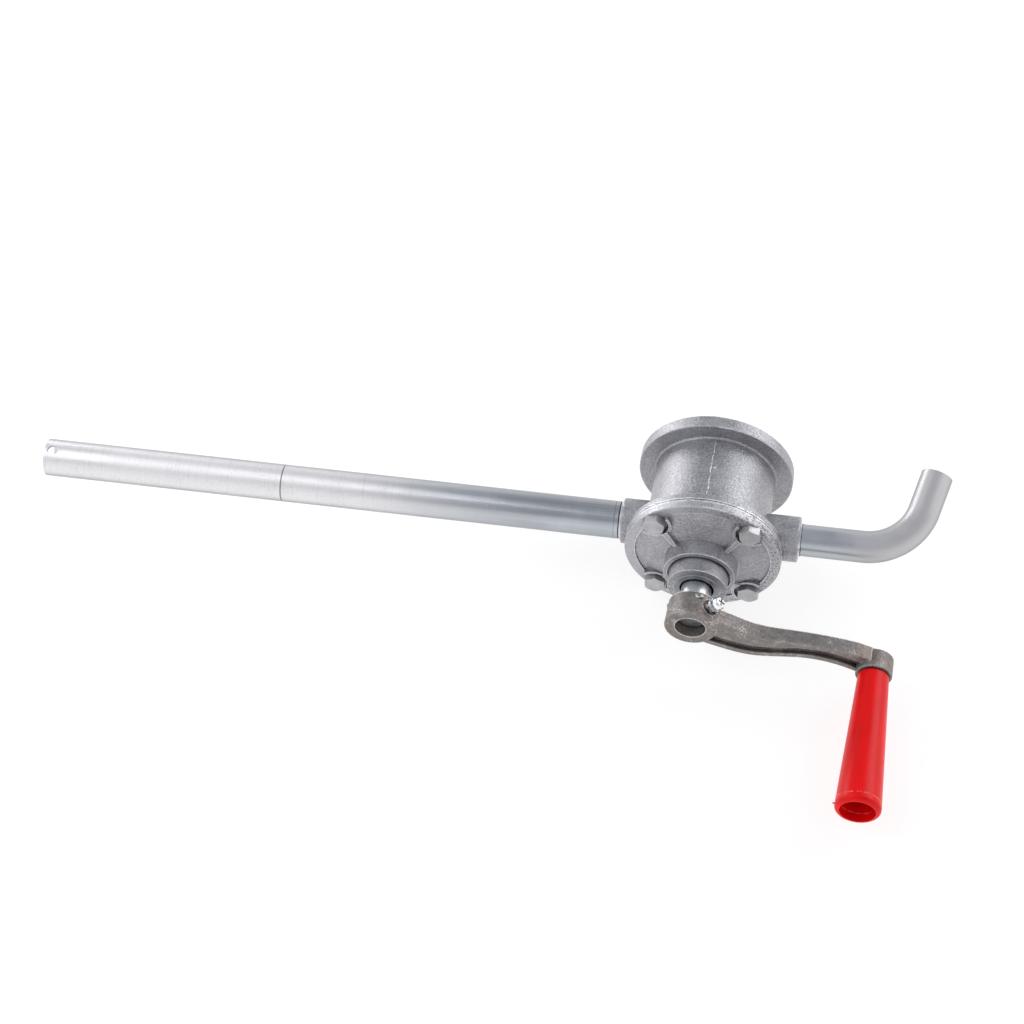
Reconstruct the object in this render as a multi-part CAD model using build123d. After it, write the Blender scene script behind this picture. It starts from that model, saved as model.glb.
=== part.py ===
from build123d import *
import math
import os

# Rotary vane barrel pump, millimetres. The shaft lies on Y and the crank is at -Y.
# The origin is the centre of the flat rear face. Suction is at -X, discharge at +X.

# Drum-shaped pump body
FLANGE_R = 51.5          # cover, front flange and rear flange
REAR_FLANGE_T = 9.0
BODY_LEN = 70.0          # rear face to the gasket face
FRONT_FLANGE_T = 5.0
BARREL_R = 40.0
BARREL_FILLET = 1.6
RIM_ROUND = 0.8

# Pumping chamber
CHAMBER_R = 32.0
CHAMBER_DROP = 4.0       # chamber axis below the shaft axis
REAR_WALL_T = 15.0

# Ports on one axis across the body
PORT_FROM_REAR = 54.7
PORT_R = 15.0
SUCTION_PORT_PROUD = 4.1  # suction boss beyond the rim of the flange
SPOUT_PORT_PROUD = 9.5
PORT_THREAD_R = 12.0
PORT_THREAD_DEPTH = 16.0
PORT_PASSAGE_R = 9.0
PORT_EDGE_ROUND = 0.7
PORT_MOUTH_CHAMFER = 0.8

# Cover, its gasket and its fasteners
GASKET_T = 0.6
COVER_T = 5.9
LAND_INNER_R = 44.5
LAND_STEP = 0.8          # the domed face starts this far under the outer land
DOME_RISE = 4.7          # height of the dome over the land where it meets the boss
BOSS_BASE_R = 24.3
BOSS_FRONT_R = 23.6
BOSS_LEN = 16.5
GROOVE_W = 1.3
GROOVE_DEPTH = 1.6
NOSE_R = 19.5
NOSE_LEN = 10.2
BOLT_CIRCLE_R = 44.0
SPOT_FACE_R = 9.6
BOLT_R = 4.0
BOLT_CLEARANCE = 0.25
BOLT_HEAD_AF = 13.0
BOLT_HEAD_T = 5.3
BOLT_CROWN = 0.9         # share of the corner radius left on the face of the head
BOLT_SHY = 0.6           # bolt end stays inside the flange by this much
BOLT_TURNS = (-5.0, 12.0, 0.0, -4.0)  # how far each head stopped from a corner-up position
PAD_LIP_W = 1.7          # thickness of the raised lip round the inner side of a spot face
PAD_LIP_RISE = 3.0       # lip over the outer land
RIB_TOP_W = 2.4
RIB_BASE_W = 6.0
RIB_RISE_AT_BOSS = 7.6   # rib top over the outer land where it meets the boss
RIB_RISE_AT_PAD = 3.9
COVER_EDGE_ROUND = 0.5

# Shaft and its supports
SHAFT_R = 10.0
SHAFT_RECESS = 7.7       # shaft end behind the front of the crank hub
SHAFT_REAR_GAP = 0.7
SHAFT_CHAMFER = 0.8
BUSH_WALL = 3.0
BUSH_CLEARANCE = 0.05
REAR_BUSH_LEN = 9.0
FRONT_BUSH_LEN = 13.0
PACKING_W = 5.0
PACKING_RINGS = 3
PACKING_RING_T = 4.2
GLAND_GAP = 1.2          # gland bore over the shaft
GLAND_PROUD = 0.9
GLAND_CHAMFER = 0.5

# Rotor, key, vanes and vane springs
ROTOR_R = 27.6
ROTOR_END_GAP = 0.3
VANE_COUNT = 4
VANE_T = 5.0
VANE_H = 12.0
VANE_SIDE_GAP = 0.15
SLOT_UNDER_VANE = 2.4
SPRING_T = 0.4
SPRING_W = 4.0
SPRING_END_GAP = 3.0
KEY_W = 6.0
KEY_H = 3.0
KEY_IN_SHAFT = 1.5
KEY_LEN = 36.0

# Crank
CRANK_RADIUS = 121.7
CRANK_ANGLE = -12.3      # below +X as drawn
HUB_GAP = 13.2           # gland ring to the back of the hub
HUB_LEN = 17.5
HUB_FRONT_R = 16.9
HUB_REAR_R = 16.2
ARM_T = 10.5
ARM_BEHIND_HUB = 1.0
ARM_ROOT_H = 25.0
ARM_TIP_H = 14.2
ARM_SWAY = 4.6           # side-to-side swing of the S-shaped arm
ARM_LOWER_RAIL = 3.8     # arm left below the groove in its front face
ARM_GROOVE_W = 6.6
ARM_GROOVE_DEPTH = 3.2
ARM_EDGE_ROUND = 0.8
EYE_R = 11.9
EYE_LEN = 14.0
EYE_PROUD = 2.8          # eye in front of the hub face
SCREW_ANGLE = 45.0
SCREW_R = 2.5
SCREW_HEAD_R = 4.3
SCREW_HEAD_T = 3.4
SCREW_SHOWN = 2.4        # thread that shows between the washer and the head
CROSS_L = 5.6            # cross recess in the screw head
CROSS_W = 1.2
CROSS_DEPTH = 1.7
SCREW_ALONG_HUB = 0.47   # share of the hub behind the clamp screw
SCREW_HEAD_ROUND = 1.8
SCREW_FLAT_DEPTH = 0.6   # flat on the shaft that the screw bears on
LOCK_NUT_AF = 8.0
LOCK_NUT_T = 4.0
LOCK_WASHER_R = 4.4
LOCK_WASHER_T = 1.3
LOCK_WASHER_SPLIT = 0.8
SPOT_DEPTH = 0.6
SPOT_MARGIN = 1.2        # spot face beyond the lock washer
HUB_ROUND = 0.8
EYE_REAR_ROUND = 1.6

# Grip
GRIP_LEN = 102.0
GRIP_REAR_R = 10.1
GRIP_FRONT_R = 14.9
GRIP_WALL = 3.4
GRIP_ROUND = 3.2
GRIP_REAR_ROUND = 0.8
GRIP_GAP = 0.7
GRIP_SOLID_LEN = 18.0
PIN_R = 4.0
PIN_CLEARANCE = 0.1
PIN_HEAD_R = 6.6
PIN_HEAD_T = 3.0
PIN_HEAD_ROUND = 1.2
PIN_WASHER_R = 6.9
PIN_WASHER_T = 1.0

# Suction tube in two sections
TUBE_R = 12.5
TUBE_WALL = 1.5
TUBE_UPPER_LEN = 228.5
TUBE_LOWER_LEN = 166.0
COLLAR_T = 1.2           # nipple collar against the boss face
COLLAR_PROUD = 0.4       # suction collar over its tube
SPOUT_COLLAR_PROUD = 0.9
NECK_LEN = 0.9           # bare neck between the collar and the tube
NECK_R = 11.6
RING_MARK_W = 0.6        # turned ring near the end of the upper section
RING_MARK_DEPTH = 0.35
RING_MARK_FROM_END = 2.4
NIPPLE_INSERT = 19.0
NIPPLE_BORE_R = 9.0
COUPLER_HALF_LEN = 20.0
COUPLER_WALL = 1.3
SUCTION_HOLE_R = 3.5
SUCTION_HOLE_FROM_END = 5.6
SUCTION_HOLE_ANGLE = 75.0

# Discharge spout
SPOUT_R = 10.5
SPOUT_WALL = 1.5
SPOUT_NIPPLE_LEN = 15.0
SPOUT_RUN_X = 102.3      # shaft axis to the start of the bend
SPOUT_BEND_R = 38.2
SPOUT_BEND = 77.0
SPOUT_LEG = 25.5
SPOUT_TILT = 18.0        # the bend's turn out of the level plane as drawn

# Sizes and positions that follow from the sizes above
SUCTION_PORT_X = FLANGE_R + SUCTION_PORT_PROUD
SPOUT_PORT_X = FLANGE_R + SPOUT_PORT_PROUD
BUSH_R = SHAFT_R + BUSH_WALL
PACKING_R = SHAFT_R + PACKING_W
GLAND_BORE_R = SHAFT_R + GLAND_GAP
SCREW_FLAT_R = SHAFT_R - SCREW_FLAT_DEPTH
BODY_FRONT = -BODY_LEN
GASKET_FRONT = BODY_FRONT - GASKET_T
LAND = GASKET_FRONT - COVER_T
BOSS_FRONT = LAND - BOSS_LEN
NOSE_FRONT = BOSS_FRONT - NOSE_LEN
GLAND_FRONT = NOSE_FRONT - GLAND_PROUD
HUB_REAR = GLAND_FRONT - HUB_GAP
HUB_FRONT = HUB_REAR - HUB_LEN
ARM_FRONT = HUB_FRONT + ARM_BEHIND_HUB
ARM_REAR = ARM_FRONT + ARM_T
EYE_FRONT = HUB_FRONT - EYE_PROUD
EYE_REAR = EYE_FRONT + EYE_LEN
GRIP_REAR = EYE_FRONT - GRIP_GAP
GRIP_FRONT = GRIP_REAR - GRIP_LEN
GRIP_FLOOR = GRIP_REAR - GRIP_SOLID_LEN
PORT_Y = -PORT_FROM_REAR
SHAFT_REAR = -REAR_WALL_T + REAR_BUSH_LEN - SHAFT_REAR_GAP
SHAFT_FRONT = HUB_FRONT + SHAFT_RECESS
PACKING_REAR = GASKET_FRONT - FRONT_BUSH_LEN
PACKING_FRONT = PACKING_REAR - PACKING_RINGS * PACKING_RING_T
SLOT_FLOOR_R = ROTOR_R - VANE_H - SLOT_UNDER_VANE
TUBE_START = -SUCTION_PORT_X - COLLAR_T - NECK_LEN
TUBE_JOINT = TUBE_START - TUBE_UPPER_LEN
TUBE_END = TUBE_JOINT - TUBE_LOWER_LEN
TUBE_BORE_R = TUBE_R - TUBE_WALL
THROUGH = 400.0          # longer than any cut needs


def along_y(radius, rear, front, x=0.0, z=0.0, front_radius=None):
    """Round bar on an axis parallel to Y, from its rear to its front position."""
    middle = Pos(x, (rear + front) / 2, z) * Rot(90, 0, 0)
    if front_radius is None:
        return middle * Cylinder(radius, rear - front)
    return middle * Cone(radius, front_radius, rear - front)


def along_x(radius, start, end, y=PORT_Y, z=0.0):
    """Round bar on an axis parallel to X."""
    return Pos((start + end) / 2, y, z) * Rot(0, 90, 0) * Cylinder(radius, abs(end - start))


def edges_at(shape, y, radius, x=0.0, z=0.0, tolerance=0.05):
    """Circular edges of one radius that lie in one plane across Y."""
    found = []
    for edge in shape.edges().filter_by(GeomType.CIRCLE):
        c = edge.arc_center
        same = abs(edge.radius - radius) < tolerance and abs(c.Y - y) < tolerance
        if same and math.hypot(c.X - x, c.Z - z) < tolerance:
            found.append(edge)
    return found


def bolt_places():
    """Centres of the cover bolts in the XZ plane."""
    for i in range(4):
        angle = math.radians(45 + 90 * i)
        yield BOLT_CIRCLE_R * math.cos(angle), BOLT_CIRCLE_R * math.sin(angle)


def hexagon(across_flats, rear, front, x=0.0, z=0.0, turn=0.0):
    """Hexagonal prism along Y, turned from a position with one corner straight up."""
    plane = Plane((x, front, z), x_dir=(0, 0, 1), z_dir=(0, 1, 0))
    outline = RegularPolygon(across_flats / 2, 6, major_radius=False, rotation=turn)
    return extrude(plane * outline, rear - front)


def pump_body():
    body = along_y(BARREL_R, 0, BODY_FRONT)
    body += along_y(FLANGE_R, 0, -REAR_FLANGE_T)
    body = fillet(edges_at(body, -REAR_FLANGE_T, BARREL_R), BARREL_FILLET)
    body += along_y(FLANGE_R, BODY_FRONT + FRONT_FLANGE_T, BODY_FRONT)
    rims = edges_at(body, 0, FLANGE_R) + edges_at(body, -REAR_FLANGE_T, FLANGE_R)
    body = fillet(rims + edges_at(body, BODY_FRONT + FRONT_FLANGE_T, FLANGE_R), RIM_ROUND)
    ports = along_x(PORT_R, -SUCTION_PORT_X, SPOUT_PORT_X)
    ports = fillet(ports.edges().filter_by(GeomType.CIRCLE), PORT_EDGE_ROUND)
    body += ports
    body -= along_y(FLANGE_R, BODY_FRONT, BODY_FRONT - FLANGE_R)
    body -= along_y(CHAMBER_R, -REAR_WALL_T, BODY_FRONT - 1, z=-CHAMBER_DROP)
    body -= along_y(BUSH_R, -REAR_WALL_T + REAR_BUSH_LEN, -REAR_WALL_T - 1)
    body -= along_x(PORT_PASSAGE_R, -SUCTION_PORT_X, SPOUT_PORT_X)
    for sign, mouth in ((-1, SUCTION_PORT_X), (1, SPOUT_PORT_X)):
        seat = mouth - PORT_THREAD_DEPTH
        body -= along_x(PORT_THREAD_R, sign * seat, sign * (mouth + 1))
        flare = Cone(PORT_THREAD_R, PORT_THREAD_R + PORT_MOUTH_CHAMFER, PORT_MOUTH_CHAMFER)
        body -= Pos(sign * (mouth - PORT_MOUTH_CHAMFER / 2), PORT_Y, 0) * Rot(0, 90 * sign, 0) * flare
    for x, z in bolt_places():
        body -= along_y(BOLT_R, BODY_FRONT + FRONT_FLANGE_T + 1, BODY_FRONT - 1, x, z)
    return body


def cover_gasket():
    gasket = along_y(FLANGE_R, BODY_FRONT, GASKET_FRONT)
    gasket -= along_y(CHAMBER_R, BODY_FRONT + 1, GASKET_FRONT - 1, z=-CHAMBER_DROP)
    for x, z in bolt_places():
        gasket -= along_y(BOLT_R + BOLT_CLEARANCE, BODY_FRONT + 1, GASKET_FRONT - 1, x, z)
    return gasket


def front_cover():
    cover = along_y(FLANGE_R, GASKET_FRONT, LAND)
    cover = fillet(edges_at(cover, LAND, FLANGE_R), RIM_ROUND)
    cover -= along_y(LAND_INNER_R, LAND + LAND_STEP, LAND - 1)
    cover += along_y(LAND_INNER_R, LAND + LAND_STEP, LAND - DOME_RISE, front_radius=BOSS_BASE_R)
    cover += along_y(BOSS_BASE_R, LAND, BOSS_FRONT, front_radius=BOSS_FRONT_R)
    cover += along_y(NOSE_R, BOSS_FRONT, NOSE_FRONT)
    cover += cover_ribs() + bolt_pads()
    groove = along_y(NOSE_R + GROOVE_W, BOSS_FRONT + GROOVE_DEPTH, BOSS_FRONT - 1)
    groove -= along_y(NOSE_R, BOSS_FRONT + GROOVE_DEPTH, BOSS_FRONT - 1)
    cover -= groove
    cover = fillet(edges_at(cover, NOSE_FRONT, NOSE_R), COVER_EDGE_ROUND)
    cover = fillet(edges_at(cover, BOSS_FRONT, BOSS_FRONT_R), COVER_EDGE_ROUND)
    for x, z in bolt_places():
        cover -= along_y(SPOT_FACE_R, LAND, LAND - 3 * DOME_RISE, x, z)
        cover -= along_y(BOLT_R + BOLT_CLEARANCE, GASKET_FRONT + 1, LAND - 1, x, z)
    cover -= along_y(BUSH_R, GASKET_FRONT + 1, PACKING_REAR)
    cover -= along_y(PACKING_R, PACKING_REAR, NOSE_FRONT - 1)
    return cover


def cover_ribs():
    """Four tapered ribs that fall from the boss to the spot faces of the bolts."""
    outer = BOLT_CIRCLE_R - SPOT_FACE_R
    side = Polyline(
        (NOSE_R, LAND + LAND_STEP),
        (NOSE_R, LAND - RIB_RISE_AT_BOSS),
        (BOSS_FRONT_R, LAND - RIB_RISE_AT_BOSS),
        (outer, LAND - RIB_RISE_AT_PAD),
        (outer, LAND + LAND_STEP),
        close=True,
    )
    section = Polyline(
        (LAND + LAND_STEP, RIB_BASE_W / 2),
        (LAND - RIB_RISE_AT_BOSS, RIB_TOP_W / 2),
        (LAND - RIB_RISE_AT_BOSS, -RIB_TOP_W / 2),
        (LAND + LAND_STEP, -RIB_BASE_W / 2),
        close=True,
    )
    across = Plane((NOSE_R, 0, 0), x_dir=(0, 1, 0), z_dir=(1, 0, 0))
    rib = extrude(make_face(side), RIB_BASE_W, both=True)
    rib &= extrude(across * make_face(section), outer - NOSE_R)
    return [Rot(0, -(45 + 90 * i), 0) * rib for i in range(4)]


def bolt_pads():
    """Pads that the spot faces are cut from, which leaves a lip on their inner side."""
    pads = []
    for x, z in bolt_places():
        pad = along_y(SPOT_FACE_R + PAD_LIP_W, LAND + LAND_STEP, LAND - PAD_LIP_RISE, x, z)
        pads.append(pad & along_y(LAND_INNER_R, LAND + LAND_STEP, LAND - PAD_LIP_RISE))
    return pads


def cover_bolts():
    bolts = []
    for (x, z), turn in zip(bolt_places(), BOLT_TURNS):
        head = hexagon(BOLT_HEAD_AF, LAND, LAND - BOLT_HEAD_T, x, z, turn)
        corner_r = BOLT_HEAD_AF / math.sqrt(3)
        crown = along_y(corner_r + BOLT_HEAD_T, LAND, LAND - BOLT_HEAD_T, x, z, corner_r * BOLT_CROWN)
        shank = along_y(BOLT_R, BODY_FRONT + FRONT_FLANGE_T - BOLT_SHY, LAND, x, z)
        bolts.append((head & crown) + shank)
    return Compound(bolts)


def drive_shaft():
    shaft = along_y(SHAFT_R, SHAFT_REAR, SHAFT_FRONT)
    shaft = chamfer(edges_at(shaft, SHAFT_FRONT, SHAFT_R), SHAFT_CHAMFER)
    key_seat = Pos(0, key_middle(), SHAFT_R) * Box(KEY_W, KEY_LEN, 2 * KEY_IN_SHAFT)
    shaft -= key_seat
    flat = Pos(SCREW_FLAT_R + SHAFT_R, HUB_FRONT, 0) * Box(2 * SHAFT_R, 2 * HUB_LEN, 2 * SHAFT_R)
    return shaft - Rot(0, -SCREW_ANGLE, 0) * flat


def rotor_span():
    """Rear and front faces of the rotor."""
    return -REAR_WALL_T - ROTOR_END_GAP, GASKET_FRONT + ROTOR_END_GAP


def key_middle():
    return sum(rotor_span()) / 2


def vane_angles():
    return [45 + 360 / VANE_COUNT * i for i in range(VANE_COUNT)]


def rotor():
    rear, front = rotor_span()
    wheel = along_y(ROTOR_R, rear, front) - along_y(SHAFT_R, rear + 1, front - 1)
    depth = ROTOR_R - SLOT_FLOOR_R + 1
    middle = SLOT_FLOOR_R + depth / 2
    slot = Pos(middle, key_middle(), 0) * Box(depth, THROUGH, VANE_T + 2 * VANE_SIDE_GAP)
    for angle in vane_angles():
        wheel -= Rot(0, -angle, 0) * slot
    keyway = Pos(0, key_middle(), SHAFT_R) * Box(KEY_W, KEY_LEN, 2 * (KEY_H - KEY_IN_SHAFT))
    return wheel - keyway


def rotor_key():
    z = SHAFT_R - KEY_IN_SHAFT + KEY_H / 2
    return Pos(0, key_middle(), z) * Box(KEY_W, KEY_LEN, KEY_H)


def vane(angle):
    """Flat carbon vane with a rounded tip, drawn fully home in its slot."""
    rear, front = rotor_span()
    blade = Pos(ROTOR_R - VANE_H / 2, key_middle(), 0) * Box(VANE_H, rear - front, VANE_T)
    return Rot(0, -angle, 0) * (blade & along_y(ROTOR_R, rear, front))


def vane_spring(angle):
    """Bowed leaf spring between the slot floor and its vane."""
    rear, front = rotor_span()
    half = (rear - front) / 2 - SPRING_END_GAP
    rise = SLOT_UNDER_VANE - SPRING_T
    bow = ThreePointArc((-half, 0), (0, rise), (half, 0))
    upper = ThreePointArc((half, SPRING_T), (0, rise + SPRING_T), (-half, SPRING_T))
    ends = [Line((half, 0), (half, SPRING_T)), Line((-half, SPRING_T), (-half, 0))]
    plane = Plane((SLOT_FLOOR_R, key_middle(), 0), x_dir=(0, 1, 0), z_dir=(0, 0, -1))
    strip = extrude(plane * make_face([bow, ends[0], upper, ends[1]]), SPRING_W / 2, both=True)
    return Rot(0, -angle, 0) * strip


def bush(rear, front):
    return along_y(BUSH_R, rear, front) - along_y(SHAFT_R + BUSH_CLEARANCE, rear + 1, front - 1)


def packing_rings():
    rings = []
    for i in range(PACKING_RINGS):
        rear = PACKING_REAR - i * PACKING_RING_T
        front = rear - PACKING_RING_T
        ring = along_y(PACKING_R, rear, front)
        rings.append(ring - along_y(SHAFT_R + BUSH_CLEARANCE, rear + 1, front - 1))
    return Compound(rings)


def gland_ring():
    ring = along_y(PACKING_R, PACKING_FRONT, GLAND_FRONT)
    ring -= along_y(GLAND_BORE_R, PACKING_FRONT + 1, GLAND_FRONT - 1)
    return chamfer(edges_at(ring, GLAND_FRONT, PACKING_R), GLAND_CHAMFER)


def crank_frame():
    """Turns the crank's own +X, hub to eye, to its drawn angle."""
    return Rot(0, -CRANK_ANGLE, 0)


def arm_spots():
    """Stations from hub to eye: distance, height of the middle line, and the arm's own height."""
    shape = ((0.0, 0.0, 1.0), (0.18, -0.55, 1.0), (0.36, -1.0, 0.62), (0.5, -0.2, 0.3),
             (0.63, 0.65, 0.04), (0.77, 1.0, 0.06), (0.9, 0.75, 0.28), (1.0, 0.0, 0.4))
    for along, sway, flare in shape:
        yield along * CRANK_RADIUS, sway * ARM_SWAY, ARM_TIP_H + (ARM_ROOT_H - ARM_TIP_H) * flare


def arm_band(upper, lower):
    """Face in the crank's XZ plane between two smooth edges from hub to eye."""
    top = Spline(*upper)
    bottom = Spline(*lower)
    return make_face([top, Line(top @ 1, bottom @ 1), bottom, Line(top @ 0, bottom @ 0)])


def arm_outline():
    upper = [(x, z + height / 2) for x, z, height in arm_spots()]
    lower = [(x, z - height / 2) for x, z, height in arm_spots()]
    return arm_band(upper, lower)


def arm_groove():
    lower = [(x, z - height / 2 + ARM_LOWER_RAIL) for x, z, height in arm_spots()]
    upper = [(x, z + ARM_GROOVE_W) for x, z in lower]
    return arm_band(upper, lower)


def crank_arm():
    front_plane = Plane((0, ARM_REAR, 0), x_dir=(1, 0, 0), z_dir=(0, -1, 0))
    arm = extrude(front_plane * arm_outline(), ARM_T)
    floor_plane = front_plane.offset(ARM_T - ARM_GROOVE_DEPTH)
    arm -= extrude(floor_plane * arm_groove(), 2 * ARM_GROOVE_DEPTH)
    long_edges = arm.edges().filter_by(lambda e: e.length > CRANK_RADIUS)
    arm = fillet(long_edges.group_by(Axis.Y)[0], ARM_EDGE_ROUND)
    arm -= along_y(HUB_REAR_R - 2, ARM_REAR + 1, ARM_FRONT - 1)
    hub = along_y(HUB_REAR_R, HUB_REAR, HUB_FRONT, front_radius=HUB_FRONT_R)
    hub = fillet(edges_at(hub, HUB_FRONT, HUB_FRONT_R), HUB_ROUND)
    eye = along_y(EYE_R, EYE_REAR, EYE_FRONT, x=CRANK_RADIUS)
    eye = fillet(edges_at(eye, EYE_REAR, EYE_R, x=CRANK_RADIUS), EYE_REAR_ROUND)
    eye = fillet(edges_at(eye, EYE_FRONT, EYE_R, x=CRANK_RADIUS), HUB_ROUND)
    crank = crank_frame() * (arm + hub + eye)
    crank -= along_y(SHAFT_R, HUB_REAR + 1, HUB_FRONT - 1)
    crank -= crank_frame() * along_y(PIN_R, EYE_REAR + 1, EYE_FRONT - 1, x=CRANK_RADIUS)
    crank -= screw_place() * radial_bar(LOCK_WASHER_R + SPOT_MARGIN, screw_seat(), 2 * HUB_FRONT_R)
    return crank - screw_place() * radial_bar(SCREW_R, SCREW_FLAT_R - 1, HUB_FRONT_R)


def screw_place():
    """Turns +X to the clamp screw's direction, near the middle of the hub."""
    return Rot(0, -SCREW_ANGLE, 0) * Pos(0, HUB_REAR - HUB_LEN * SCREW_ALONG_HUB, 0)


def screw_seat():
    return HUB_REAR_R - SPOT_DEPTH


def radial_bar(radius, inner, outer, outer_radius=None):
    """Round bar along +X between two distances from the shaft axis."""
    place = Pos((inner + outer) / 2, 0, 0) * Rot(0, 90, 0)
    if outer_radius is None:
        return place * Cylinder(radius, outer - inner)
    return place * Cone(radius, outer_radius, outer - inner)


def clamp_stack():
    """Distances from the shaft axis: nut seat, washer seat, washer top, head seat, head top."""
    seat = screw_seat()
    washer = seat + LOCK_NUT_T
    shown = washer + LOCK_WASHER_T
    head = shown + SCREW_SHOWN
    return seat, washer, shown, head, head + SCREW_HEAD_T


def crank_screw():
    seat, washer, shown, head, top = clamp_stack()
    screw = radial_bar(SCREW_HEAD_R, head, top)
    screw = fillet(screw.edges().sort_by(Axis.X)[-1:], SCREW_HEAD_ROUND)
    screw += radial_bar(SCREW_R, SCREW_FLAT_R, head)
    cross = Box(2 * CROSS_DEPTH, CROSS_L, CROSS_W) + Box(2 * CROSS_DEPTH, CROSS_W, CROSS_L)
    return screw_place() * (screw - Pos(top, 0, 0) * cross)


def crank_lock_nut():
    seat, washer, shown, head, top = clamp_stack()
    plane = Plane((seat, 0, 0), x_dir=(0, 1, 0), z_dir=(1, 0, 0))
    nut = extrude(plane * RegularPolygon(LOCK_NUT_AF / 2, 6, major_radius=False), LOCK_NUT_T)
    return screw_place() * (nut - radial_bar(SCREW_R, seat - 1, washer + 1))


def crank_lock_washer():
    seat, washer, shown, head, top = clamp_stack()
    ring = radial_bar(LOCK_WASHER_R, washer, shown) - radial_bar(SCREW_R, washer - 1, shown + 1)
    split = Box(2 * LOCK_WASHER_T, LOCK_WASHER_SPLIT, LOCK_WASHER_R)
    below = (SCREW_R + LOCK_WASHER_R) / 2
    return screw_place() * (ring - Pos((washer + shown) / 2, 0, -below) * split)


def grip():
    shell = along_y(GRIP_REAR_R, GRIP_REAR, GRIP_FRONT, front_radius=GRIP_FRONT_R)
    slope = (GRIP_FRONT_R - GRIP_REAR_R) / GRIP_LEN
    floor_r = GRIP_REAR_R + slope * GRIP_SOLID_LEN - GRIP_WALL
    mouth_r = GRIP_FRONT_R - GRIP_WALL
    shell -= along_y(floor_r, GRIP_FLOOR, GRIP_FRONT, front_radius=mouth_r)
    shell = fillet(edges_at(shell, GRIP_FRONT, GRIP_FRONT_R), GRIP_ROUND)
    shell = fillet(edges_at(shell, GRIP_REAR, GRIP_REAR_R), GRIP_REAR_ROUND)
    shell -= along_y(PIN_R + PIN_CLEARANCE, GRIP_REAR + 1, GRIP_FLOOR - 1)
    return at_eye(shell)


def at_eye(shape):
    return crank_frame() * Pos(CRANK_RADIUS, 0, 0) * shape


def pin_stack():
    """Front faces inside the grip: washer rear, washer front, pin head front."""
    rear = GRIP_FLOOR - GRIP_GAP
    front = rear - PIN_WASHER_T
    return rear, front, front - PIN_HEAD_T


def grip_pin():
    rear, front, tip = pin_stack()
    pin = along_y(PIN_R, EYE_REAR, front) + along_y(PIN_HEAD_R, front, tip)
    pin = fillet(edges_at(pin, tip, PIN_HEAD_R), PIN_HEAD_ROUND)
    return at_eye(pin)


def grip_washer():
    rear, front, tip = pin_stack()
    return at_eye(along_y(PIN_WASHER_R, rear, front) - along_y(PIN_R, rear + 1, front - 1))


def suction_nipple():
    seat = -SUCTION_PORT_X + PORT_THREAD_DEPTH
    nipple = along_x(PORT_THREAD_R, seat, -SUCTION_PORT_X)
    nipple += along_x(TUBE_R + COLLAR_PROUD, -SUCTION_PORT_X, -SUCTION_PORT_X - COLLAR_T)
    nipple += along_x(NECK_R, -SUCTION_PORT_X, TUBE_START)
    nipple += along_x(TUBE_BORE_R, TUBE_START, TUBE_START - NIPPLE_INSERT)
    return nipple - along_x(NIPPLE_BORE_R, seat + 1, TUBE_START - NIPPLE_INSERT - 1)


def suction_tube_upper():
    tube = along_x(TUBE_R, TUBE_START, TUBE_JOINT)
    tube -= along_x(TUBE_BORE_R, TUBE_START + 1, TUBE_JOINT - 1)
    mark = TUBE_START - RING_MARK_FROM_END
    ring = along_x(TUBE_R + 1, mark, mark - RING_MARK_W)
    return tube - (ring - along_x(TUBE_R - RING_MARK_DEPTH, mark + 1, mark - RING_MARK_W - 1))


def suction_tube_lower():
    tube = along_x(TUBE_R, TUBE_JOINT, TUBE_END)
    tube -= along_x(TUBE_BORE_R, TUBE_JOINT + 1, TUBE_END - 1)
    drill = Cylinder(SUCTION_HOLE_R, 4 * TUBE_R)
    place = Pos(TUBE_END + SUCTION_HOLE_FROM_END, PORT_Y, 0) * Rot(90 - SUCTION_HOLE_ANGLE, 0, 0)
    return tube - place * drill


def tube_coupler():
    start = TUBE_JOINT + COUPLER_HALF_LEN
    end = TUBE_JOINT - COUPLER_HALF_LEN
    sleeve = along_x(TUBE_BORE_R, start, end)
    return sleeve - along_x(TUBE_BORE_R - COUPLER_WALL, start + 1, end - 1)


def spout_nipple():
    start = SPOUT_PORT_X - SPOUT_NIPPLE_LEN
    collar_end = SPOUT_PORT_X + COLLAR_T
    nipple = along_x(PORT_THREAD_R, start, SPOUT_PORT_X)
    nipple += along_x(SPOUT_R + SPOUT_COLLAR_PROUD, SPOUT_PORT_X, collar_end)
    return nipple - along_x(SPOUT_R, start - 1, collar_end + 1)


def discharge_spout():
    """Bent tube, drawn level and then turned about the port axis."""
    start = SPOUT_PORT_X - SPOUT_NIPPLE_LEN
    straight = Line((start, PORT_Y, 0), (SPOUT_RUN_X, PORT_Y, 0))
    centre = (SPOUT_RUN_X, PORT_Y + SPOUT_BEND_R)
    turn = math.radians(SPOUT_BEND)
    bend_end = (
        centre[0] + SPOUT_BEND_R * math.sin(turn),
        centre[1] - SPOUT_BEND_R * math.cos(turn),
        0,
    )
    bend = TangentArc((SPOUT_RUN_X, PORT_Y, 0), bend_end, tangent=(1, 0, 0))
    heading = Vector(math.cos(turn), math.sin(turn), 0)
    leg = Line(bend_end, Vector(*bend_end) + heading * SPOUT_LEG)
    path = straight + bend + leg
    plane = Plane((start, PORT_Y, 0), z_dir=(1, 0, 0))
    outside = sweep(plane * Circle(SPOUT_R), path=path)
    inside = sweep(plane * Circle(SPOUT_R - SPOUT_WALL), path=path)
    at_port = Pos(0, PORT_Y, 0)
    return at_port * Rot(SPOUT_TILT, 0, 0) * at_port.inverse() * (outside - inside)


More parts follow.
